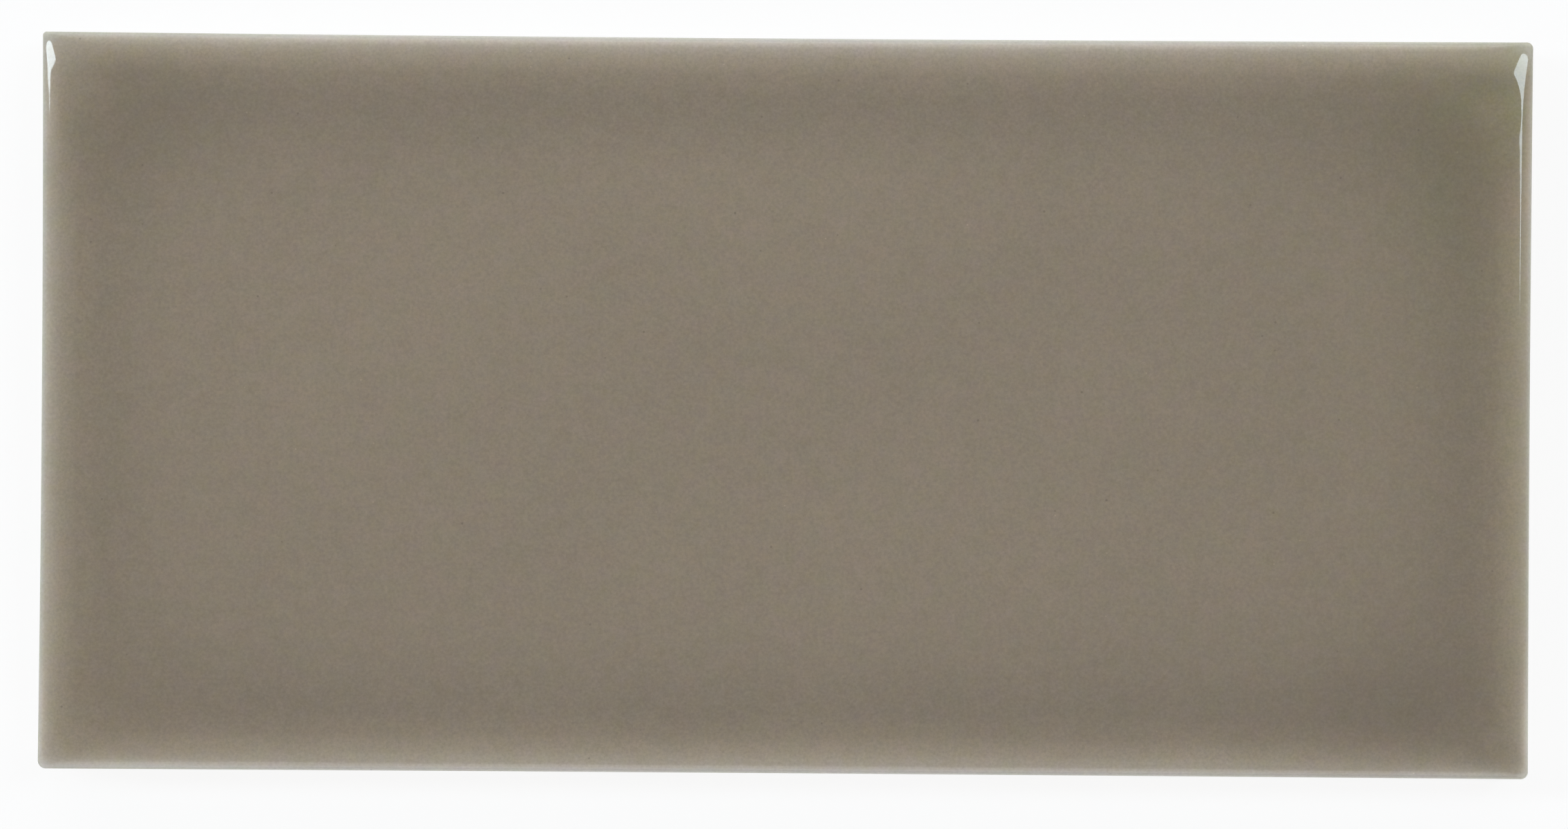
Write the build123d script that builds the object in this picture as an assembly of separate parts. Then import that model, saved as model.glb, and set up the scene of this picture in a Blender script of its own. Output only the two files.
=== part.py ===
"""A glazed ceramic field tile, 3 x 6 in nominal, lying on its back with the glazed face up.

The tile is one pressed and fired piece, so it is one solid.
X runs along the length, Y along the width and Z up, and the origin is the middle of the back.
All sizes are in millimetres.
"""

from build123d import *
from math import cos, radians, sqrt
import os

# Overall size
tile_length = 150.8  # corner to corner: 6 in less a 1/16 in joint
tile_width = 74.6  # corner to corner: 3 in less a 1/16 in joint
tile_thickness = 8.0  # from the back to the crest of the glaze

# Outline: firing draws each side in a little, and the corners are barely rounded
long_side_bow = 0.14  # how far the middle of a long side stands in from its corners
short_side_bow = 0.12  # the same for a short side
corner_radius = 0.7  # in plan, at the sides
corner_spread = 0.8  # growth of that radius for each millimetre in from the sides
fullest_corner = 0.9  # a corner's largest radius, as a share of half the width there

# Sides: the die is a little narrower at the foot, so that the pressed tile lets go
side_draft = 0.15
foot_chamfer = 0.5

# Arris: the pressed edge of the face, a quarter of an ellipse
arris_reach = 1.6  # how far it reaches in over the face
arris_drop = 1.0  # how far it falls
arris_steps = 6  # sections that its smooth skin passes through

# Glaze: it runs thin over the arris, stands highest as a bead just inside, and levels out
glaze_fall = 0.32  # how much lower its surface is at the sides, beside the arris's own fall
bead_inset = 7.0  # where the bead has its crest
bead_height = 0.05  # how far the crest stands over the level field
field_inset = 15.0  # where the level field begins
glaze_steps = 4  # sections on each slope of the bead

# Keyed back: shallow pockets between raised ribs, which the adhesive grips
key_columns = 8
key_rows = 4
key_border = 6.0  # plain margin round the pockets
key_rib = 2.4  # rib width at the back's surface
key_depth = 0.7
key_corner = 1.5  # corner radius of a pocket's mouth
key_wall_lean = 0.35  # how far each wall leans in from mouth to floor


def outline(inset: float, height: float) -> Face:
    """The tile's outline moved in by inset, with its four bowed sides, at one height."""
    half_length = tile_length / 2 - inset
    half_width = tile_width / 2 - inset
    corners = [
        (half_length, half_width),
        (-half_length, half_width),
        (-half_length, -half_width),
        (half_length, -half_width),
    ]
    bows = [long_side_bow, short_side_bow, long_side_bow, short_side_bow]
    sides = [
        SagittaArc(corner, following, bow)
        for corner, following, bow in zip(corners, corners[1:] + corners[:1], bows)
    ]
    face = Face(Wire(sides))
    radius = min(corner_radius + corner_spread * inset, fullest_corner * half_width)
    return Pos(0, 0, height) * face.fillet_2d(radius, face.vertices())


def face_height(inset: float) -> float:
    """Height of the glazed face at a distance in from the sides.

    It is the thickness, less the arris's quarter ellipse, less what the glaze lacks outside
    the bead (a cubic that is full at the sides), less what it sinks inside it (a smooth step).
    """
    to_arris_end = max(0.0, 1 - inset / arris_reach)
    to_crest = max(0.0, 1 - inset / bead_inset)
    past_crest = min(1.0, max(0.0, (inset - bead_inset) / (field_inset - bead_inset)))
    arris = arris_drop * (1 - sqrt(1 - to_arris_end**2))
    thinning = glaze_fall * to_crest**3
    sinking = bead_height * past_crest**2 * (3 - 2 * past_crest)
    return tile_thickness - arris - thinning - sinking


def sections(insets: list[float]) -> list[Face]:
    """The outlines of the glazed face at these distances in from the sides."""
    return [outline(inset, face_height(inset)) for inset in insets]


def evenly(first: float, last: float, steps: int) -> list[float]:
    """Steps + 1 values from first to last, evenly spaced."""
    return [first + (last - first) * step / steps for step in range(steps + 1)]


def pressed_body() -> Part:
    """The straight sides, from the chamfered foot up to where the arris begins."""
    foot = outline(side_draft + foot_chamfer, 0)
    foot_top = outline(side_draft, foot_chamfer)
    return loft([foot, foot_top, outline(0, face_height(0))], ruled=True)


def rolled_arris() -> Part:
    """The rounded edge of the face, one smooth skin over sections at even turns of the ellipse."""
    turns = evenly(0, 90, arris_steps)
    return loft(sections([arris_reach * (1 - cos(radians(turn))) for turn in turns]))


def levelled_glaze() -> Part:
    """The nearly flat rest of the face: up to the bead's crest, and down to the level field."""
    rising = evenly(arris_reach, bead_inset, glaze_steps)
    sinking = evenly(bead_inset, field_inset, glaze_steps)
    return loft(sections(rising + sinking[1:]), ruled=True)


def key_pockets() -> Part:
    """The pockets pressed into the back, each with walls that lean in to its floor."""
    pocket_length = (tile_length - 2 * key_border - (key_columns - 1) * key_rib) / key_columns
    pocket_width = (tile_width - 2 * key_border - (key_rows - 1) * key_rib) / key_rows
    mouth = RectangleRounded(pocket_length, pocket_width, key_corner)
    floor = RectangleRounded(
        pocket_length - 2 * key_wall_lean,
        pocket_width - 2 * key_wall_lean,
        key_corner - key_wall_lean,
    )
    pocket = loft([mouth, Pos(0, 0, key_depth) * floor], ruled=True)
    pitches = (pocket_length + key_rib, pocket_width + key_rib)
    return Part() + [place * pocket for place in GridLocations(*pitches, key_columns, key_rows)]


tile = pressed_body() + rolled_arris() + levelled_glaze() - key_pockets()

os.makedirs("parts", exist_ok=True)
export_step(tile, "parts/tile.step")
print("tile volume", round(tile.volume), "mm3, solids", len(tile.solids()))
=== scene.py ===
# %% [markdown]
# # A glazed field tile, seen from straight above
#
# The real thing is one slab of pressed clay, nominally 6 by 3 inches and 8 mm thick. It went through the
# kiln face up with a grey-brown glaze on it. The glaze ran thin over the rounded edge of the face, where
# the white clay shines through it, and gathered in a slightly darker band just inside.
#
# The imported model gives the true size. This notebook dresses it: first the camera, the floor and the
# lamps, then one closed surface for the whole tile, then one material that changes from glaze to bare clay.

import bpy
import numpy as np
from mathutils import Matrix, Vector


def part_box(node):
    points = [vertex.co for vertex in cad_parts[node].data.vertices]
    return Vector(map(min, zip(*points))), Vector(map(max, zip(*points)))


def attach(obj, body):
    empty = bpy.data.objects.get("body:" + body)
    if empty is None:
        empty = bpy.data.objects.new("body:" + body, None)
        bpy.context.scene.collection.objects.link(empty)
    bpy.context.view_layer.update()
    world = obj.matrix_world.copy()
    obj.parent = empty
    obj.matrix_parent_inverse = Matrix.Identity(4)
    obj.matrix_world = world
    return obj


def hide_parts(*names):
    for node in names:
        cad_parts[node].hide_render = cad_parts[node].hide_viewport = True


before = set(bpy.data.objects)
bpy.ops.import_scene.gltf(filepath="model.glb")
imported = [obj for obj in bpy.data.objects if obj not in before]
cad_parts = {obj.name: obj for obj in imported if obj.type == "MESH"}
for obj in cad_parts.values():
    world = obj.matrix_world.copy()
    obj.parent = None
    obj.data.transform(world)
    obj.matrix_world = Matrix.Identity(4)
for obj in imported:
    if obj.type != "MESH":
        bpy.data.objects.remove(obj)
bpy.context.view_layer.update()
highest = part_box("tile")[1]
mm = 0.001
half_length = highest.x / mm
half_width = highest.y / mm
thickness = highest.z / mm
print(f"tile {2 * half_length:.2f} x {2 * half_width:.2f} x {thickness:.2f} mm")

# %% [markdown]
# ## The camera
#
# The photograph looks straight down, and the tile lies turned by less than half a degree in it. A long
# lens a little over half a metre away gives such an even view. The frame's width on the tile fixes that
# distance, and the point of the tile that the picture's middle shows fixes the place.

# %% Camera
frame_width = 158.65  # millimetres of the tile's own plane that the picture takes in
rim_height = 6.68  # where the outline is widest
picture_middle = (-0.135, -0.92)
picture_turn = np.radians(0.42)
lens = 120
sensor = 36

camera = bpy.data.objects.new("camera", bpy.data.cameras.new("camera"))
bpy.context.scene.collection.objects.link(camera)
bpy.context.scene.camera = camera
camera.data.lens = lens
camera.data.sensor_width = sensor
camera_height = rim_height + frame_width * lens / sensor
camera.location = Vector((*picture_middle, camera_height)) * mm
camera.rotation_euler = (0, 0, picture_turn)
camera.data.clip_start = 0.05
camera.data.clip_end = 20
bpy.context.scene.view_settings.view_transform = "Standard"
print(f"camera {camera_height:.0f} mm over the floor")

# %% [markdown]
# ## Writing a material as sums
#
# Node trees are hard to read as a list of links. This small class wraps one output socket, so that
# `1 - mask` or `colour * (1 + grain)` adds the right nodes. Plain values go through Math nodes. Colours
# and vectors go through Vector Math, because a Math node would turn a colour grey. Every other node comes
# from the one method `node`, which makes its settings first and fills its sockets after.

# %% Sockets that can be added and multiplied
def fill_ramp(elements, stops):
    """Gives a colour ramp its stops, each a position from nought to one and a colour."""
    elements.remove(elements[1])
    for number, (position, colour) in enumerate(stops):
        stop = elements.new(position) if number else elements[0]
        stop.position = position
        stop.color = (*colour, 1)


class Strand:
    """One output socket of a material, which sums and products of values and colours start from."""

    def __init__(self, tree, socket):
        self.tree = tree
        self.socket = socket

    def node(self, kind, settings, inputs, output=0):
        """Adds a node, makes its settings or a ramp's stops, then sets or links each socket."""
        added = self.tree.nodes.new(kind)
        for name, value in settings.items():
            if name == "stops":
                fill_ramp(added.color_ramp.elements, value)
            else:
                setattr(added, name, value)
        for name, value in inputs.items():
            socket = added.inputs[name]
            if isinstance(value, Strand):
                self.tree.links.new(value.socket, socket)
            elif isinstance(value, tuple) and len(socket.default_value) == 4:
                socket.default_value = (*value, 1)
            elif socket.type == "VECTOR" and not isinstance(value, tuple):
                socket.default_value = (value, value, value)
            else:
                socket.default_value = value
        return Strand(self.tree, added.outputs[output])

    def sum(self, operation, *parts):
        """A Math node on values, or a Vector Math node where one part is a colour or a vector."""
        many = any(isinstance(x, tuple) or getattr(x, "is_many", lambda: False)() for x in parts)
        kind = "ShaderNodeVectorMath" if many else "ShaderNodeMath"
        return self.node(kind, {"operation": operation}, dict(enumerate(parts)))

    def is_many(self):
        return self.socket.type in ("VECTOR", "RGBA")

    def __add__(self, other):
        return self.sum("ADD", self, other)

    __radd__ = __add__

    def __mul__(self, other):
        return self.sum("MULTIPLY", self, other)

    __rmul__ = __mul__

    def __sub__(self, other):
        return self.sum("SUBTRACT", self, other)

    def __rsub__(self, other):
        return self.sum("SUBTRACT", other, self)

    def __truediv__(self, other):
        return self.sum("DIVIDE", self, other)

    def bell(self, middle, reach):
        """One at the middle and less to both sides: e to minus (distance / reach) squared."""
        off = (self - middle) / reach
        return self.sum("EXPONENT", off * off * -1)

    def step(self, low, high):
        """Nought up to low, one from high, and a smooth slope between them."""
        settings = {"interpolation_type": "SMOOTHSTEP"}
        return self.node("ShaderNodeMapRange", settings, {"Value": self, "From Min": low, "From Max": high})

    def around(self, middle, reach):
        """One at a point and less about it, as in bell, with a reach of its own in X, Y and Z."""
        off = (self - middle) / reach
        squared = self.node("ShaderNodeVectorMath", {"operation": "DOT_PRODUCT"}, {0: off, 1: off}, "Value")
        return self.sum("EXPONENT", squared * -1)

    def ramp(self, stops, reach):
        """A colour that changes with this value, with stops at values up to reach."""
        settings = {"stops": [(value / reach, colour) for value, colour in stops]}
        return self.node("ShaderNodeValToRGB", settings, {0: self / reach}, "Color")

    def noise(self, size, detail=2.0, rough=0.5):
        """A soft cloud around nought, about -0.5 to 0.5, whose lumps are about size metres wide."""
        inputs = {"Vector": self, "Scale": 1 / size, "Detail": detail, "Roughness": rough}
        return self.node("ShaderNodeTexNoise", {"noise_dimensions": "3D"}, inputs) - 0.5

    def grains(self, spacing):
        """The distance to the nearest of many scattered points, and a chance value for that point.

        The distance is in shares of the points' spacing.
        """
        inputs = {"Vector": self, "Scale": 1 / spacing}
        distance = self.node("ShaderNodeTexVoronoi", {}, inputs)
        colour = Strand(self.tree, distance.socket.node.outputs["Color"])
        chance = self.node("ShaderNodeSeparateColor", {}, {"Color": colour})
        return distance, chance

    def towards(self, other, share):
        """This colour mixed with another by a share from nought to one."""
        inputs = {"Factor": share, 6: self, 7: other}
        return self.node("ShaderNodeMix", {"data_type": "RGBA", "clamp_factor": True}, inputs, output=2)


def new_material(name):
    """An empty material, a Strand of the piece's own Object coordinates, and its output node."""
    material = bpy.data.materials.new(name)
    material.use_nodes = True
    tree = material.node_tree
    tree.nodes.clear()
    output = tree.nodes.new("ShaderNodeOutputMaterial")
    place = Strand(tree, tree.nodes.new("ShaderNodeTexCoord").outputs["Object"])
    return material, place, output


print("operators ready")

# %% [markdown]
# ## Floor and backdrop
#
# The tile lies on a plain white table that has no end. Camera rays see most of the floor's white at full
# strength, which keeps the background clean, and the rest as lit paint, which keeps the tile's shadow. So do
# the rays that the glaze mirrors. Light that falls on the tile comes from the real, duller world behind that
# white, so the backdrop lights nothing.

# %% Floor and world
floor_reach = 3.0  # metres
floor_paint = (0.94, 0.94, 0.94)
shadow_share = 0.12  # how much of the seen floor is lit paint, which takes the shadow
backdrop_white = 1.0
fill_light = 0.14


def seen_directly(start):
    """One for camera, mirror and glass rays, and nought for the rays that carry light to matt surfaces."""
    paths = start.node("ShaderNodeLightPath", {}, {}, "Is Camera Ray")
    outputs = paths.socket.node.outputs
    mirrored = Strand(start.tree, outputs["Is Glossy Ray"])
    through = Strand(start.tree, outputs["Is Transmission Ray"])
    return start.sum("MAXIMUM", start.sum("MAXIMUM", paths, mirrored), through)


def white_table():
    """Matt white paint, mixed with a plain white glow where it is seen directly."""
    paint, place, output = new_material("white_table")
    matt = place.node("ShaderNodeBsdfDiffuse", {}, {"Color": floor_paint}, "BSDF")
    glow = place.node("ShaderNodeEmission", {}, {"Color": (1, 1, 1), "Strength": backdrop_white}, "Emission")
    share = seen_directly(place) * (1 - shadow_share)
    mixed = place.node("ShaderNodeMixShader", {}, {0: share, 1: matt, 2: glow})
    place.tree.links.new(mixed.socket, output.inputs["Surface"])
    return paint


def studio():
    """A world that gives the fill light, and is plain white where it is seen directly."""
    world = bpy.data.worlds.new("studio")
    world.use_nodes = True
    tree = world.node_tree
    tree.nodes.clear()
    start = Strand(tree, tree.nodes.new("ShaderNodeTexCoord").outputs["Object"])
    strength = fill_light + seen_directly(start) * (backdrop_white - fill_light)
    sky = start.node("ShaderNodeBackground", {}, {"Color": (1, 1, 1), "Strength": strength})
    output = tree.nodes.new("ShaderNodeOutputWorld")
    tree.links.new(sky.socket, output.inputs["Surface"])
    return world


floor_mesh = bpy.data.meshes.new("floor")
corners = floor_reach * np.array([(-1, -1, 0), (1, -1, 0), (1, 1, 0), (-1, 1, 0)])
floor_mesh.from_pydata(corners, [], [(0, 1, 2, 3)])
floor_mesh.materials.append(white_table())
floor = bpy.data.objects.new("floor", floor_mesh)
bpy.context.scene.collection.objects.link(floor)
bpy.context.scene.world = studio()
print(f"fill light {fill_light}, floor {floor_reach * 2:.0f} m wide")

# %% [markdown]
# ## Lamps
#
# Two soft lamps stand beside the table, a little behind it. Each lamp shows as a bright tear in the rounded
# edge near an upper corner of the tile. A tear's shape is the lamp's shape, squeezed by the edge's curve, so
# the lamps were found by following view rays from the camera to the tears and on to where they point. Both
# are glowing cards, because an area lamp can only be a rectangle or an ellipse. The left side of the
# right-hand card also draws the fine line that runs down that edge.
#
# Two dim white boards, in front of the table and behind it, throw light back, and the room gives the rest.
# The front board shows as the grey band along the lower edge. The board behind would end in a hard line in
# the glaze, so towards its top its glow goes over to the backdrop's own white.

# %% Soft lamps
lamp_distance = 1100  # millimetres from the point of the tile that the lamp faces
lamp_colour = (0.82, 0.93, 1.0)  # daylight, a little bluer than the boards
board_colour = (1.0, 1.0, 1.0)
left_radiance = 12.8
right_radiance = 8.8
front_radiance = 1.9
back_radiance = 2.0
no_fade = (8, 9)  # metres over the floor between which a card fades, here over all of them
back_fade = (0.25, 1.10)  # the same for the board behind


def lamp_glow(name, colour, radiance, fade):
    """A glow that goes over to the backdrop's white in a smooth step between two heights over the floor."""
    glowing, place, output = new_material(name)
    over_floor = place.node("ShaderNodeSeparateXYZ", {}, {0: place}, "Z")
    glow = (1 - over_floor.step(*fade) * (1 - backdrop_white / radiance)) * colour
    shine = place.node("ShaderNodeEmission", {}, {"Color": glow, "Strength": radiance}, "Emission")
    place.tree.links.new(shine.socket, output.inputs["Surface"])
    return glowing


def card_lamp(name, corner, azimuth, elevation, outline, colour, radiance, fade=no_fade):
    """A glowing card that faces a point of the tile, with its outline in shares of the distance to it."""
    turn, rise = np.radians((azimuth, elevation))
    out = Vector((np.cos(rise) * np.cos(turn), np.cos(rise) * np.sin(turn), np.sin(rise)))
    across = Vector((0, 0, 1)).cross(out).normalized()
    up = out.cross(across)
    points = [(Vector(corner) + lamp_distance * (out + a * across + b * up)) * mm for a, b in outline]
    mesh = bpy.data.meshes.new(name)
    mesh.from_pydata(points, [], [tuple(range(len(points)))])
    mesh.materials.append(lamp_glow(name, colour, radiance, fade))
    card = bpy.data.objects.new(name, mesh)
    bpy.context.scene.collection.objects.link(card)
    card.visible_camera = False
    return card


left_lamp = card_lamp(
    "left_lamp",
    corner=(-half_length, half_width, thickness),
    azimuth=162,
    elevation=28,
    outline=[
        (0.238, -0.100), (0.225, 0.055), (0.2185, 0.120), (0.207, 0.145), (0.169, 0.250),
        (0.057, 0.498), (-0.024, 0.645), (-0.073, 0.712), (-0.110, 0.680), (-0.195, 0.585),
        (-0.210, 0.530), (-0.190, 0.478), (0.025, 0.225), (0.200, -0.061),
    ],
    colour=lamp_colour,
    radiance=left_radiance,
)
right_lamp = card_lamp(
    "right_lamp",
    corner=(half_length, half_width, thickness),
    azimuth=28,
    elevation=49,
    outline=[
        (0.120, 0.135), (0.082, 0.216), (0.040, 0.340), (0.010, 0.462), (-0.073, 0.477),
        (-0.100, 0.458), (-0.130, 0.448), (-0.165, 0.450), (-0.176, 0.438), (-0.150, 0.400),
        (-0.130, 0.355), (-0.118, 0.300), (-0.105, 0.170), (-0.070, -0.011), (-0.045, -0.042),
        (0.000, -0.040), (0.050, -0.005), (0.105, 0.050), (0.124, 0.095),
    ],
    colour=lamp_colour,
    radiance=right_radiance,
)
front_outline = [(-1.2, -0.3), (1.2, -0.3), (1.2, 0.3), (-1.2, 0.3)]
back_outline = [(-1.2, -0.3), (1.2, -0.3), (1.2, 0.7), (-1.2, 0.7)]
front_board = card_lamp("front_board", (0, 0, 0), -90, 20, front_outline, board_colour, front_radiance)
back_board = card_lamp(
    "back_board", (0, 0, 0), 90, 20, back_outline, board_colour, back_radiance, fade=back_fade
)
print("lamps:", left_lamp.name, right_lamp.name, front_board.name, back_board.name)

# %% [markdown]
# ## The tile's surface, one formula for each stretch
#
# A tile has no straight line on it. Firing draws the sides in, each by its own hair's breadth, and every
# corner comes out with its own radius. The face falls away over the edge in a quarter of an ellipse, the
# glaze stands highest in a bead 7 mm in, and sinks to the level field. So the shape is a function of the
# distance from the sides. It is worked out on a grid whose lines crowd towards the edges, and the square
# corners of that grid are slid round to quarter circles.

# %% Outline of this tile
long_side_bow = (0.06, 0.16)  # how far the middle of the -Y and the +Y side stands in
short_side_bow = (0.156, 0.078)  # the same for the -X and the +X side
corner_radius = {(-1, -1): 0.85, (1, -1): 0.74, (-1, 1): 0.40, (1, 1): 0.65}
corner_spread = {(-1, -1): 0.8, (1, -1): 0.8, (-1, 1): 3.0, (1, 1): 4.75}  # growth on the rounded edge
level_spread = 0.8  # growth of each radius for every millimetre farther in
spread_end = (1.3, 3.3)  # the growth eases from the first to the second between these insets
fullest_corner = 0.9


def rounded(first, second, radius):
    """Distances from two sides that meet, with the corner between them turned on a radius.

    Where the farther distance is less than a radius beyond the nearer one, the point slides on to a
    quarter circle: the angle goes evenly from none at the radius's end to an eighth turn on the diagonal.
    """
    near = np.minimum(first, second)
    beyond = np.abs(first - second)
    turn = np.pi / 4 * np.clip(1 - beyond / np.maximum(radius, 1e-6), 0, 1)
    new_near = near + radius * (1 - np.cos(turn))
    new_far = near + np.where(beyond < radius, radius * (1 - np.sin(turn)), beyond)
    swapped = first > second
    return np.where(swapped, new_far, new_near), np.where(swapped, new_near, new_far)


def of_corner(x, y, values):
    """The value of whichever quarter of the tile each point lies in."""
    own = np.zeros(np.broadcast(x, y).shape)
    for (side_x, side_y), value in values.items():
        own[(np.sign(x) * side_x >= 0) & (np.sign(y) * side_y >= 0)] = value
    return own


def turning_radius(x, y, inset):
    """The corner radius at an inset: the outline's own, plus each stretch's growth.

    The extra growth of the rounded edge fades in a smooth step. The sum of what is left of it up to t is
    t less t cubed plus half of t to the fourth.
    """
    first, last = spread_end
    t = np.clip((inset - first) / (last - first), 0, 1)
    extra = np.minimum(inset, first) + (last - first) * (t - t**3 + t**4 / 2)
    own = of_corner(x, y, corner_radius) + level_spread * inset
    own += (of_corner(x, y, corner_spread) - level_spread) * extra
    return np.minimum(own, fullest_corner * (half_width - inset))


def bowed(x, y, pull):
    """Points moved in by their side's bow, a parabola along the side, times pull.

    The pull is 1 on the outline.
    """
    along_x = 1 - (x / half_length) ** 2
    along_y = 1 - (y / half_width) ** 2
    new_y = y - np.where(y < 0, -long_side_bow[0], long_side_bow[1]) * along_x * pull
    new_x = x - np.where(x < 0, -short_side_bow[0], short_side_bow[1]) * along_y * pull
    return new_x, new_y


print("corner radii", corner_radius)

# %% [markdown]
# The height of the face is the thickness, less the edge's quarter ellipse, less what the thinning glaze
# lacks outside the bead, less what it sinks inside it. A wave of a few thousandths of a millimetre keeps
# the glaze from being a perfect mirror, as it never is.

# %% Glazed face
edge_reach = 1.5  # how far the rounded edge reaches in, over most of the length
left_edge_reach = 4.0  # and at the two ends, where this tile's edge is softer or tighter
right_edge_reach = 1.2
end_starts = 42  # from the middle to where the reach begins to change, and over how far it does
end_length = 26
edge_drop = 1.0
glaze_fall = 0.32
bead_inset = 7.0
bead_height = 0.05
field_inset = 15.0
line_reach = 1.6  # the grid lines on the rounded edge are at even turns of an ellipse of this reach
edge_turns = 22  # and so many
crowding = 1.6  # the farther lines stand at this power of even steps
ripple_lengths = (9, 14, 23, 38)  # millimetres from crest to crest
ripple_height = 0.004
cell_lines = 24  # grid lines to each pocket of the back, and as many on the face over it
pocket_columns = 8
pocket_rows = 4
chance = np.random.default_rng(6)


def waves(x, y, lengths, height):
    """A sum of slanting sine waves with chance directions and starts, each as long as lengths says."""
    total = np.zeros(np.broadcast(x, y).shape)
    for length in lengths:
        way = chance.uniform(0, 2 * np.pi)
        start = chance.uniform(0, 2 * np.pi)
        total += np.sin(2 * np.pi * (x * np.cos(way) + y * np.sin(way)) / length + start)
    return height * total / len(lengths)


def smooth_step(value):
    """Nought below 0, one above 1, and 3 v squared less 2 v cubed between them."""
    share = np.clip(value, 0, 1)
    return share**2 * (3 - 2 * share)


def reach_at(x):
    """How far the rounded edge reaches in at a place along the length."""
    to_left = smooth_step((-x - end_starts) / end_length)
    to_right = smooth_step((x - end_starts) / end_length)
    longer = (left_edge_reach - edge_reach) * to_left
    shorter = (right_edge_reach - edge_reach) * to_right
    return edge_reach + longer + shorter


def face_height(inset, x):
    """Thickness less the quarter ellipse, less a cubic outside the bead, less a smooth step inside it."""
    to_edge_end = np.clip(1 - inset / reach_at(x), 0, 1)
    to_bead = np.clip(1 - inset / bead_inset, 0, 1)
    edge = edge_drop * (1 - np.sqrt(1 - to_edge_end**2))
    sunk = bead_height * smooth_step((inset - bead_inset) / (field_inset - bead_inset))
    return thickness - edge - glaze_fall * to_bead**3 - sunk


def mirrored_lines(from_side, across):
    """Distances from the first side for all lines: those given, and the same from the other side."""
    return np.concatenate([from_side, across - from_side[::-1][1:]])


def face_lines(half, cells):
    """Lines at even turns of the edge's ellipse, then ever wider to the middle, then the same back."""
    turns = np.linspace(0, np.pi / 2, edge_turns + 1)
    steps = np.linspace(0, 1, cells * cell_lines // 2 + 1)[1:] ** crowding
    inner = line_reach + (half - line_reach) * steps
    return mirrored_lines(np.concatenate([line_reach * (1 - np.cos(turns)), inner]), 2 * half)


def both_ways(lines_x, lines_y, half_x, half_y):
    """The grid's points from the middle, and each one's distance from the nearer side in X and in Y."""
    x, y = np.meshgrid(lines_x - half_x, lines_y - half_y)
    return x, y, half_x - np.abs(x), half_y - np.abs(y)


def face_grid():
    """The face's grid as both_ways gives it, before its corners are turned and its sides bowed."""
    lines_x = face_lines(half_length, pocket_columns)
    lines_y = face_lines(half_width, pocket_rows)
    return both_ways(lines_x, lines_y, half_length, half_width)


def glazed_face():
    """Points of the face, rows along Y and columns along X, and their distance in from the sides."""
    x, y, from_x, from_y = face_grid()
    inset = np.minimum(from_x, from_y)
    new_x, new_y = rounded(from_x, from_y, turning_radius(x, y, inset))
    x = np.sign(x) * (half_length - new_x)
    y = np.sign(y) * (half_width - new_y)
    x, y = bowed(x, y, 1 - inset / half_width)
    ripple = waves(x, y, ripple_lengths, ripple_height) - ripple_height
    ripple *= np.clip(inset / line_reach, 0, 1)
    return np.stack([x, y, face_height(inset, x) + ripple], -1), inset


face, face_inset = glazed_face()
print("face grid", face.shape[:2], "height", face[..., 2].min().round(3), "to", face[..., 2].max().round(3))

# %% [markdown]
# The back doesn't show in the photograph. Pressed wall tiles have a key there: shallow pockets between
# ribs, for the adhesive to grip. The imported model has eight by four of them, and the grid's lines gather at
# each pocket's lip and foot so that both come out softly rounded, as pressed clay does.

# %% Keyed back
foot_inset = 0.65
key_border = 6.0
key_rib = 2.4
key_depth = 0.7
lip = 1.12  # from a rib's middle to where a pocket's side begins to fall
pocket_foot = 1.62  # and to where it ends
pocket_corner = 1.5
cell_margin = key_border - key_rib / 2 - foot_inset  # from the foot to the first rib's middle
margin_crowding = 2  # the lines there stand at this power of even steps
lines_before_lip = 0.12  # the lines over a pocket's side begin so far before its lip
lines_past_foot = 0.08  # and end so far past its foot
side_lines = 7
floor_lines = 5  # from there to the pocket's middle, so a whole pocket has cell_lines in all
floor_crowding = 1.4
uneven_lengths = (11, 19, 33, 52)  # millimetres from crest to crest
uneven_height = 0.008


def pocket_lines(half_cell):
    """Lines across a pocket from rib to rib, gathered where its sides fall."""
    side = np.linspace(lip - lines_before_lip, pocket_foot + lines_past_foot, side_lines)
    steps = np.linspace(0, 1, floor_lines + 1)[1:] ** floor_crowding
    floor_part = side[-1] + (half_cell - side[-1]) * steps
    return mirrored_lines(np.concatenate([[0], side, floor_part]), 2 * half_cell)


def key_lines(half, cells):
    """Lines from foot to foot, crowded towards both, with one pocket after the other between them."""
    half_cell = (half - cell_margin) / cells
    margin = cell_margin * np.linspace(0, 1, edge_turns + 1) ** margin_crowding
    starts = cell_margin + 2 * half_cell * np.arange(cells)
    pockets = (starts[:, None] + pocket_lines(half_cell)[1:]).ravel()
    return np.concatenate([margin, pockets, 2 * half - margin[::-1][1:]])


def back_grid():
    """The back's grid as both_ways gives it, and half its length and width."""
    half_x = half_length - foot_inset
    half_y = half_width - foot_inset
    lines_x = key_lines(half_x, pocket_columns)
    lines_y = key_lines(half_y, pocket_rows)
    return *both_ways(lines_x, lines_y, half_x, half_y), half_x, half_y


def into_pocket(across, half, cells):
    """A point's pocket: its middle, the point's distance in from its ribs' middles, and half its width."""
    half_cell = (half - cell_margin) / cells
    which = np.clip(np.floor((across + half - cell_margin) / (2 * half_cell)), 0, cells - 1)
    middle = -half + cell_margin + (2 * which + 1) * half_cell
    return middle, half_cell - np.abs(across - middle), half_cell


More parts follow.
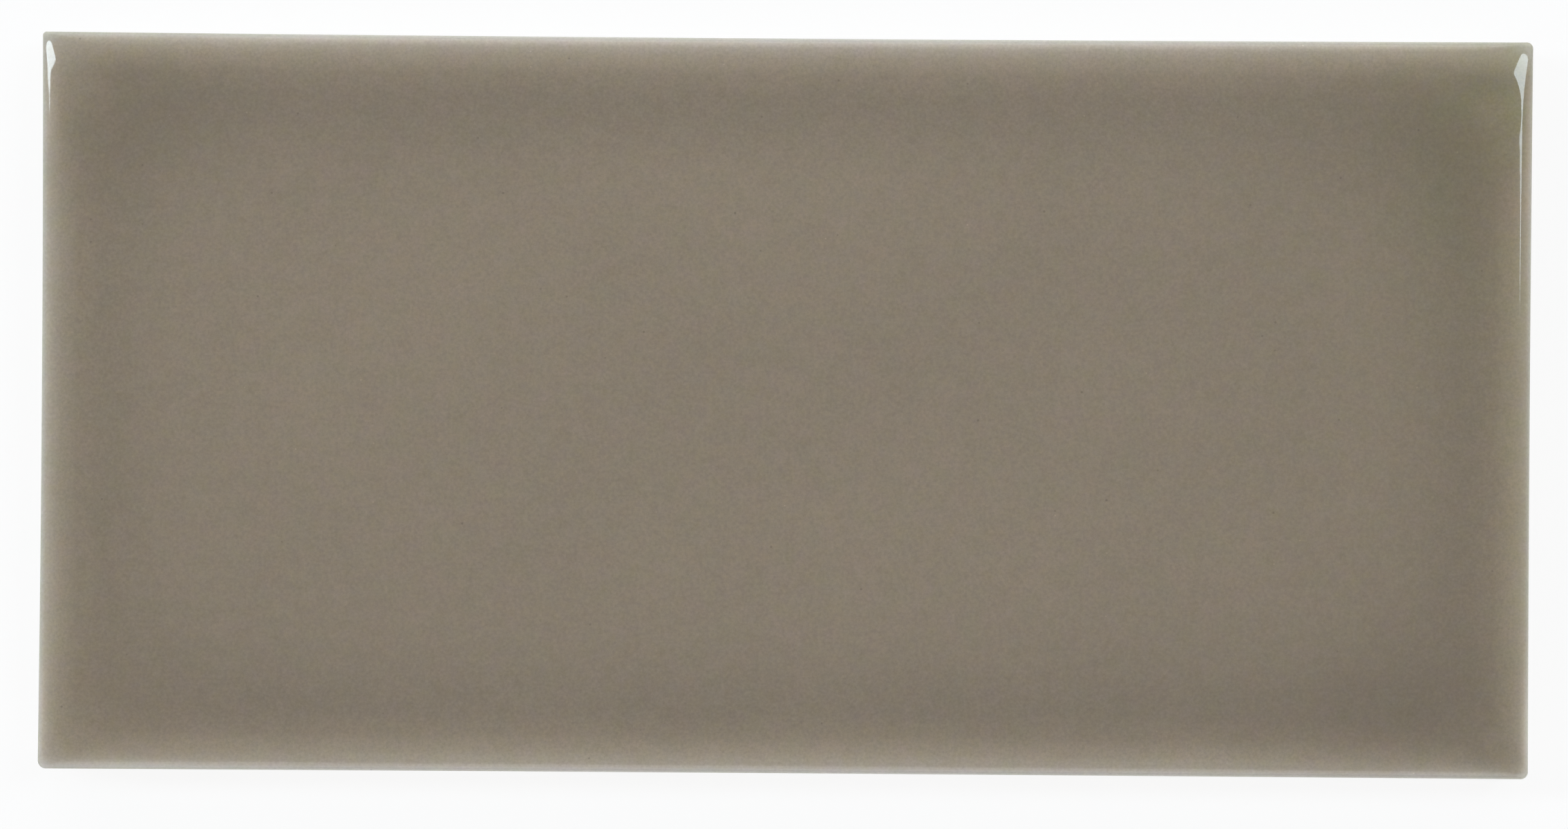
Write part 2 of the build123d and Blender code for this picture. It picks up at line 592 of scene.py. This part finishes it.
def keyed_back():
    """Points of the back on a grid like the face's, and how deep in a pocket each one lies, from 0 to 1.

    A pocket's depth is a smooth step of the distance in from its ribs. Its corners turn on a radius that
    grows from nothing beside the ribs to full at the lip, and shrinks to nothing in the middle.
    """
    x, y, from_x, from_y, half_x, half_y = back_grid()
    middle_x, in_x, half_cell_x = into_pocket(x, half_x, pocket_columns)
    middle_y, in_y, half_cell_y = into_pocket(y, half_y, pocket_rows)
    near = np.minimum(in_x, in_y)
    deep = smooth_step((near - lip) / (pocket_foot - lip))
    stops = [lip / 2, lip, pocket_foot, half_cell_y]
    turn = np.interp(near, stops, [0, pocket_corner, pocket_corner - pocket_foot + lip, 0])
    in_x, in_y = rounded(in_x, in_y, turn)
    x = middle_x + np.sign(x - middle_x) * (half_cell_x - in_x)
    y = middle_y + np.sign(y - middle_y) * (half_cell_y - in_y)
    inset = np.minimum(from_x, from_y)
    to_pockets = np.clip(1 - inset / cell_margin, 0, 1)
    foot_corner = (of_corner(x, y, corner_radius) + level_spread * foot_inset) * to_pockets
    from_x, from_y = rounded(half_x - np.abs(x), half_y - np.abs(y), foot_corner)
    x, y = bowed(np.sign(x) * (half_x - from_x), np.sign(y) * (half_y - from_y), to_pockets)
    uneven = (waves(x, y, uneven_lengths, uneven_height) + uneven_height) * np.clip(inset, 0, 1)
    return np.stack([x, y, key_depth * deep + uneven], -1), deep


back, back_depth = keyed_back()
print("back grid", back.shape[:2], "pocket depth", back[..., 2].max().round(3))

# %% [markdown]
# The sides join the two grids: rings of points that run round the tile, from the face's rim down to the
# foot. The glaze stops part of the way down in a line that wanders, with a tiny rounded step to the bare
# clay, so the rings there follow that line up and down. The die's draft narrows the clay a little towards
# the back, and the foot is eased over.

# %% Sides
side_draft = 0.15
foot_chamfer = 0.5
easing_power = 1.5
glaze_line = 4.1  # height at which the glaze ends, on average
glaze_wander = 0.55
wander_lengths = (6, 9, 16, 27, 44)  # millimetres from crest to crest
glaze_film = 0.07  # how far the glaze stands proud of the clay at its end
to_line = (0.2, 0.4, 0.6, 0.8)  # shares of the way from the rim to just over the glaze's end
past_line = (0.35, 0.22, 0.14, 0.08, 0.03, -0.02, -0.07, -0.12, -0.22)  # millimetres over its end
line_slope = (0.08, 0.20)  # where the film begins to fall to the clay, and over what height it does
to_foot = np.linspace(0.125, 1, 8)  # shares of the way on to the eased foot
down_foot = (0.8, 0.6, 0.42, 0.27, 0.15, 0.06)  # shares of the chamfer's height


def rim(grid):
    """The values round a grid's edge, anticlockwise from above, each corner once."""
    return np.concatenate([grid[0, :-1], grid[:-1, -1], grid[-1, :0:-1], grid[:0:-1, 0]])


def side_rings():
    """Points of the sides, one row for each ring from under the rim to over the foot.

    Beside them it gives where glaze covers them, and how far over the glaze's end each one is.
    A ring is the outline moved in by the draft and by the film's thickness below the glaze's end. On the
    foot it is moved in by the easing instead, once that is more than the film. The easing is the chamfer
    times the share below its top to the power of one and a half. The points stand under the face's columns
    as far as the glaze goes, and on the flat clay below they slide over to the back's columns.
    """
    face_x, face_y, in_x, in_y = face_grid()
    foot_in_x, foot_in_y, half_x, half_y = back_grid()[2:]
    side_x, side_y = np.sign(rim(face_x)), np.sign(rim(face_y))
    share_x = np.stack([rim(in_x) / half_length, rim(foot_in_x) / half_x])
    share_y = np.stack([rim(in_y) / half_width, rim(foot_in_y) / half_y])
    line = glaze_line + waves(rim(face_x), rim(face_y), wander_lengths, glaze_wander)
    top = face_height(0, 0) + 0 * line
    over = line + past_line[0]
    under = line + past_line[-1]
    heights = [top + (over - top) * share for share in to_line]
    heights += [line + past for past in past_line]
    heights += [under + (foot_chamfer - under) * share for share in to_foot]
    heights += [foot_chamfer * share + 0 * line for share in down_foot]
    heights = np.stack(heights)
    bare = smooth_step((line + line_slope[0] - heights) / line_slope[1])
    draft = side_draft * np.clip((top - heights) / (top - foot_chamfer), 0, 1)
    eased = foot_chamfer * np.clip(1 - heights / foot_chamfer, 0, 1) ** easing_power
    inset = np.minimum(draft + np.maximum(glaze_film * bare, eased), foot_inset)
    still = np.zeros(len(to_line) + len(past_line))
    way = np.concatenate([still, to_foot, np.ones(len(down_foot))])[:, None]
    from_x = (share_x[0] * (1 - way) + share_x[1] * way) * (half_length - inset)
    from_y = (share_y[0] * (1 - way) + share_y[1] * way) * (half_width - inset)
    radius = of_corner(side_x, side_y, corner_radius) + level_spread * inset
    from_x, from_y = rounded(from_x, from_y, radius)
    x, y = bowed(side_x * (half_length - inset - from_x), side_y * (half_width - inset - from_y), 1)
    return np.stack([x, y, heights], -1), 1 - bare, heights - line


sides, sides_glazed, sides_over_line = side_rings()
print("rings down the sides", sides.shape[:2])

# %% [markdown]
# ## One closed mesh
#
# Face, rings and back share their edge points, so the surface is closed without any merging. Cells turn into
# two triangles each. On the diagonal of a rounded corner one of the two ways to split them would leave a
# sliver, so a cell is split the other way wherever that leaves clearly fuller triangles.
#
# Each point also carries what the material needs to know and can't work out from its place alone: how far in
# from the sides it lies on the face, whether glaze covers it, how far over the glaze's end it is, and how
# deep in a pocket.

# %% Build the tile
split_gain = 1.2  # how much fuller the smaller triangle has to be for a cell to be split the other way
face_rise = 3  # on the face, the height over the glaze's end counts up this fast with the distance in
back_fall = -9  # and all over the back it counts as this, far below that end


def quads(ids):
    """Four corners for every cell of a grid of point numbers.

    They go anticlockwise where rows go up and columns to the right.
    """
    return np.stack([ids[:-1, :-1], ids[:-1, 1:], ids[1:, 1:], ids[1:, :-1]], -1).reshape(-1, 4)


def well_split(points, cells):
    """The same cells, some of them turned by one corner, so that they are split the other way.

    The split runs from a cell's first corner to its third. The smaller triangle of each pair decides.
    """
    def area(a, b, c):
        return np.linalg.norm(np.cross(points[b] - points[a], points[c] - points[a]), axis=-1)

    a, b, c, d = cells.T
    along = np.minimum(area(a, b, c), area(a, c, d))
    across = np.minimum(area(b, c, d), area(b, d, a))
    return np.where((across > split_gain * along)[:, None], np.roll(cells, -1, axis=1), cells)


def one_list(on_face, on_sides, on_back):
    """A value for each point of the mesh, out of a grid or one number for each of its three parts."""
    parts = zip((on_face, on_sides, on_back), (face_inset, sides_glazed, back_depth))
    return np.concatenate([np.broadcast_to(value, grid.shape).ravel() for value, grid in parts])


def build_tile():
    """The mesh object with what its points carry, its points in millimetres, and its cells."""
    face_ids = np.arange(face_inset.size).reshape(face_inset.shape)
    side_ids = face_inset.size + np.arange(sides_glazed.size).reshape(sides_glazed.shape)
    back_ids = face_inset.size + sides_glazed.size + np.arange(back_depth.size).reshape(back_depth.shape)
    rings = np.concatenate([rim(face_ids)[None], side_ids, rim(back_ids)[None]])
    rings = np.concatenate([rings, rings[:, :1]], axis=1)
    faces = np.concatenate([quads(face_ids), quads(rings[::-1]), quads(back_ids)[:, ::-1]])
    points = np.concatenate([grid.reshape(-1, 3) for grid in (face, sides, back)])
    faces = well_split(points, faces)
    mesh = bpy.data.meshes.new("glazed_tile")
    mesh.from_pydata(points * mm, [], faces.tolist())
    mesh.polygons.foreach_set("use_smooth", np.ones(len(faces), bool))
    rim_over_line = thickness - edge_drop - glaze_fall - glaze_line
    carried = {
        "inset": one_list(face_inset, 0, 0),
        "glazed": one_list(1, sides_glazed, 0),
        "over_line": one_list(rim_over_line + face_rise * face_inset, sides_over_line, back_fall),
        "pocket": one_list(0, 0, back_depth),
    }
    for name, values in carried.items():
        mesh.attributes.new(name, "FLOAT", "POINT").data.foreach_set("value", values.astype(np.float32))
    tile = bpy.data.objects.new("glazed_tile", mesh)
    bpy.context.scene.collection.objects.link(tile)
    return tile, points, faces


def enclosed(points, faces):
    """The volume inside a closed mesh: a sixth of the triple products of its triangles' corners."""
    total = 0
    for b, c in ((1, 2), (2, 3)):
        first, second, third = points[faces[:, 0]], points[faces[:, b]], points[faces[:, c]]
        total += np.einsum("ij,ij->", first, np.cross(second, third)) / 6
    return total


tile, tile_points, tile_faces = build_tile()
print(f"{2 * len(tile_faces)} triangles, volume {enclosed(tile_points, tile_faces):.0f} mm3")

# %% [markdown]
# ## Glaze
#
# The glaze is a coloured glass, so its colour depends on its depth. Over the rounded edge it is thin, and
# the pale clay lightens it, most of all in the outermost millimetre. In the bead it is deepest and a shade
# darker. The field between shows what every reactive glaze shows: a grain of fractions of a millimetre, soft
# patches that lean to pink or to green, others that lean to yellow or to blue, and slow drifts across the
# tile. On the sides it runs down in faint streaks and gathers at its end.
#
# No glaze lies evenly either. Each pool is a place where this tile is a little paler or darker than the
# formula alone: wide, soft ones on the field, and narrow ones along the rims, which are partly the glaze's
# own and partly painted light and shade. They were set one by one, until the levels there were like the
# photograph's.
# Sizes and places are in millimetres here, and strengths are shares of the colour.

# %% Glaze colours
field_colour = (0.225, 0.174, 0.119)
thin_glaze = [  # how many times lighter the glaze is, in red, green and blue, so many millimetres in
    (0.0, (0.234, 0.294, 0.355)),
    (0.25, (0.215, 0.253, 0.318)),
    (0.6, (0.187, 0.205, 0.235)),
    (1.1, (0.163, 0.176, 0.194)),
    (2.1, (0.138, 0.143, 0.148)),
    (3.9, (0.110, 0.110, 0.110)),
    (6.0, (0.100, 0.100, 0.100)),
]
thin_share = 10  # the stops are tenths, because a ramp's colours stay below one
thin_reach = 6.0  # the last stop
pools_and_painted_light = [  # middle, reach, and how much lighter it is in red, green and blue
    # wide ones on the field, and long ones beside the two ends, of which the left one is painted shade
    ((-40, 14), (34, 20), (0.05, 0.05, 0.05)),
    ((5, -15), (30, 12), (0.03, 0.03, 0.03)),
    ((80, 0), (28, 60), (-0.07, -0.075, -0.11)),
    ((78, 34), (20, 24), (-0.04, -0.02, -0.06)),
    ((70, 31), (12, 9), (-0.16, -0.16, -0.20)),
    ((64, -31), (15, 9), (-0.15, -0.16, -0.16)),
    ((-70, 31), (12, 9), (-0.13, -0.13, -0.16)),
    ((-70, -31), (12, 9), (-0.05, -0.06, -0.08)),
    ((-76, 0), (10, 60), (0.00, 0.00, -0.03)),
    ((76, -20), (1.1, 24), (0.16, 0.16, 0.08)),
    # painted shade: the wide rounded edge at the left end, which the left lamp lights more, made darker
    ((-73.0, 0), (2.0, 40), (-0.11, -0.10, -0.08)),
    ((73.3, 0), (1.8, 40), (-0.05, -0.05, -0.10)),
    ((67, 20), (6, 14), (-0.02, 0.00, -0.04)),
    ((0, 22), (30, 6), (0.04, 0.04, 0.04)),
    ((-54, 28), (26, 9), (-0.06, -0.06, -0.06)),
    ((73, 25), (7, 12), (-0.07, -0.06, -0.10)),
    ((30, -28), (24, 9), (-0.05, -0.05, -0.05)),
    # narrow ones along the rims and beside the corners, partly the glaze's own and partly painted light and
    # shade
    ((74.95, 27), (0.5, 9), (0.30, 0.25, 0.28)),
    ((75.05, 13), (0.45, 9), (0.11, 0.10, 0.11)),
    ((74.1, -8), (0.6, 18), (-0.04, -0.05, -0.07)),
    ((75.05, -33), (0.5, 7), (0.40, 0.40, 0.44)),
    ((66, 36.1), (9, 1.5), (0.16, 0.15, 0.18)),
    ((71, 33.1), (4.5, 1.5), (-0.12, -0.14, -0.12)),
    ((72.5, 22), (3.5, 6), (0.08, 0.03, 0.10)),
    ((-74.6, 30), (1.2, 5), (0.15, 0.13, 0.16)),
    ((-75.0, -32), (0.6, 6), (0.15, 0.13, 0.16)),
    ((-68.6, 33.2), (4, 1.4), (-0.11, -0.11, -0.11)),
    ((-67, -36.6), (9, 0.5), (0.11, 0.14, 0.19)),
    ((67.5, -36.6), (6, 0.5), (0.13, 0.15, 0.18)),
    ((72, -35), (4, 1.6), (-0.12, -0.12, -0.12)),
    ((3, 36.2), (45, 1.3), (0.01, 0.02, 0.06)),
    ((0, -36.9), (80, 0.5), (0.0, 0.01, 0.06)),
]
grain_size = 0.3
grain_strength = 0.50
coarse_size = 1.7
coarse_strength = 0.15
patch_size = 2.4
patch_tint = (0.10, -0.03, 0.08)
yellow_size = 2.0
yellow_strength = 0.38  # on blue alone
calm_reach = 1.0  # from the rim, where the thin glaze shows less of both
grain_calm = 0.16
yellow_calm = 0.14
drift_size = 18
drift_strength = 0.14
bead_reach = 4.5
bead_darkness = 0.10
run_size = 2.2
run_stretch = (1, 1, 0.3)  # runs are longer down the side than across
run_middle = 1.2  # over the glaze's end
run_reach = 0.9
run_strength = 0.25
gather_middle = 0.22
gather_reach = 0.22
gather_darkness = 0.16


def pooled_with_painted_light(place, tint):
    """The tint with each pool's change added, fading away from the pool's middle as around does."""
    for middle, reach, change in pools_and_painted_light:
        middle = tuple(mm * x for x in (*middle, 0))
        reach = tuple(mm * x for x in (*reach, 1000))  # a pool goes through the whole thickness
        tint = tint + place.around(middle, reach) * change
    return tint


def glaze_colour(place, inset, over_line):
    """Field colour, lighter where the glaze is thin, darker in the bead and at its end, and mottled."""
    on_edge = inset.bell(0, calm_reach)
    fine = place.noise(grain_size * mm, rough=0.7) * (grain_strength - on_edge * grain_calm)
    grain = fine + place.noise(coarse_size * mm, rough=0.7) * coarse_strength
    patches = place.noise(patch_size * mm) * patch_tint
    yellowing = place.noise(yellow_size * mm, detail=3, rough=0.8)
    yellowing = yellowing * (yellow_strength - on_edge * yellow_calm)
    drift = place.noise(drift_size * mm, detail=3, rough=0.6) * drift_strength
    # the glaze's pools, and the painted light and shade along the rims
    tint = pooled_with_painted_light(place, patches + yellowing * (0, 0, 1) + (1.0, 1.0, 1.0))
    bead = inset.bell(bead_inset, bead_reach) * bead_darkness
    runs = (place * run_stretch).noise(run_size * mm, rough=0.6)
    runs = runs * over_line.bell(run_middle, run_reach) * run_strength
    gathered = over_line.bell(gather_middle, gather_reach) * gather_darkness
    level = 1 + grain + drift + runs - bead - gathered
    lighter = inset.ramp(thin_glaze, thin_reach) * (thin_share, thin_share, thin_share)
    return tint * field_colour * lighter * level


print(len(pools_and_painted_light), "pools in the glaze")

# %% [markdown]
# ## Clay
#
# Where the glaze stops, the bare clay shows: off-white and matt, with a fine grain, a soft cloud and the
# upright marks that the die leaves on the sides. The kiln turns it brown in a thin flash just under
# the glaze's end, and the pockets of the key get a little painted shade.

# %% Clay colours
bare_clay = (0.66, 0.61, 0.53)
flash_colour = (0.46, 0.33, 0.20)
flash_middle = -0.16  # millimetres over the glaze's end, so under it
flash_reach = 0.16
flash_strength = 0.35
clay_grain_size = 0.25
clay_grain_strength = 0.26
cloud_size = 9
cloud_strength = 0.20
mark_size = 0.5
mark_stretch = (1, 1, 0.05)  # the die's marks are far longer down the side than across
mark_strength = 0.10
# painted shade, darker the deeper a point lies in a pocket of the key
painted_pocket_shade = 0.06


def clay_colour(place, over_line, pocket, grain, marks):
    """The clay's colour times its grain, cloud, marks and painted pocket shade, mixed with brown in the
    flash.
    """
    cloud = place.noise(cloud_size * mm, detail=3, rough=0.6)
    level = grain * clay_grain_strength + cloud * cloud_strength + marks * mark_strength
    # painted shade in the pockets
    level = level + (1 - pocket * painted_pocket_shade)
    clay = level * place.node("ShaderNodeCombineXYZ", {}, dict(enumerate(bare_clay)))
    return clay.towards(flash_colour, over_line.bell(flash_middle, flash_reach) * flash_strength)


print("clay", bare_clay)

# %% [markdown]
# ## One finish from glaze to clay
#
# One material covers the whole tile. It mixes the two colours where the mesh says that glaze covers it, and
# strews a few specks over both, dark ones where iron came through and pale ones. The glaze is smooth, with a
# swell of a few thousandths of a millimetre, and the clay is rough and pitted.

# %% Finish of the tile
cover_edge = (0.4, 0.6)  # shares of glaze between which clay goes over to glaze
speck_spacing = 1.3  # millimetres
dark_edge = (0.05, 0.12)  # shares of the spacing: a speck is full up to the first and gone at the second
dark_chance = (0.93, 0.95)  # only points with a chance value over these have one
pale_edge = (0.03, 0.09)
pale_chance = (0.04, 0.06)  # and here only points under these
speck_strength = 0.3
clay_roughness = 0.85
glaze_roughness = 0.035
glaze_index = 1.55
swell_size = 2.6  # millimetres
swell_height = 4e-6  # metres, as the bump node wants it
pit_depth = 8e-5
marks_in_pits = 0.3


def speckled(place):
    """How many times lighter each point is: one, less in dark specks and more in pale ones."""
    distance, chance_value = place.grains(speck_spacing * mm)
    dark = (1 - distance.step(*dark_edge)) * chance_value.step(*dark_chance)
    pale = (1 - distance.step(*pale_edge)) * (1 - chance_value.step(*pale_chance))
    return 1 + (dark * -speck_strength + pale * speck_strength)


def glaze_over_clay():
    """The tile's one material, as a Principled surface with bump."""
    finish, place, output = new_material("glaze_over_clay")
    inset, glazed, over_line, pocket = [
        place.node("ShaderNodeAttribute", {"attribute_name": name}, {}, "Fac")
        for name in ("inset", "glazed", "over_line", "pocket")
    ]
    covered = glazed.step(*cover_edge)
    grain = place.noise(clay_grain_size * mm, detail=4, rough=0.7)
    marks = (place * mark_stretch).noise(mark_size * mm, rough=0.6)
    clay = clay_colour(place, over_line, pocket, grain, marks)
    colour = clay.towards(glaze_colour(place, inset, over_line), covered) * speckled(place)
    roughness = clay_roughness - covered * (clay_roughness - glaze_roughness)
    swell = place.noise(swell_size * mm, detail=1) * swell_height
    pits = (grain + marks * marks_in_pits) * pit_depth
    height = swell * covered + pits * (1 - covered)
    bump = place.node("ShaderNodeBump", {}, {"Height": height, "Distance": 1.0}, "Normal")
    sockets = {"Base Color": colour, "Roughness": roughness, "Normal": bump, "IOR": glaze_index}
    surface = place.node("ShaderNodeBsdfPrincipled", {}, sockets, "BSDF")
    place.tree.links.new(surface.socket, output.inputs["Surface"])
    return finish


tile_finish = glaze_over_clay()
tile.data.materials.append(tile_finish)
print(len(tile_finish.node_tree.nodes), "nodes in the finish")

# %% [markdown]
# ## Hand over
#
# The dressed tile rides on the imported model's one body and stands for its one node.

# %% Finish
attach(tile, "root")
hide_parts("tile")
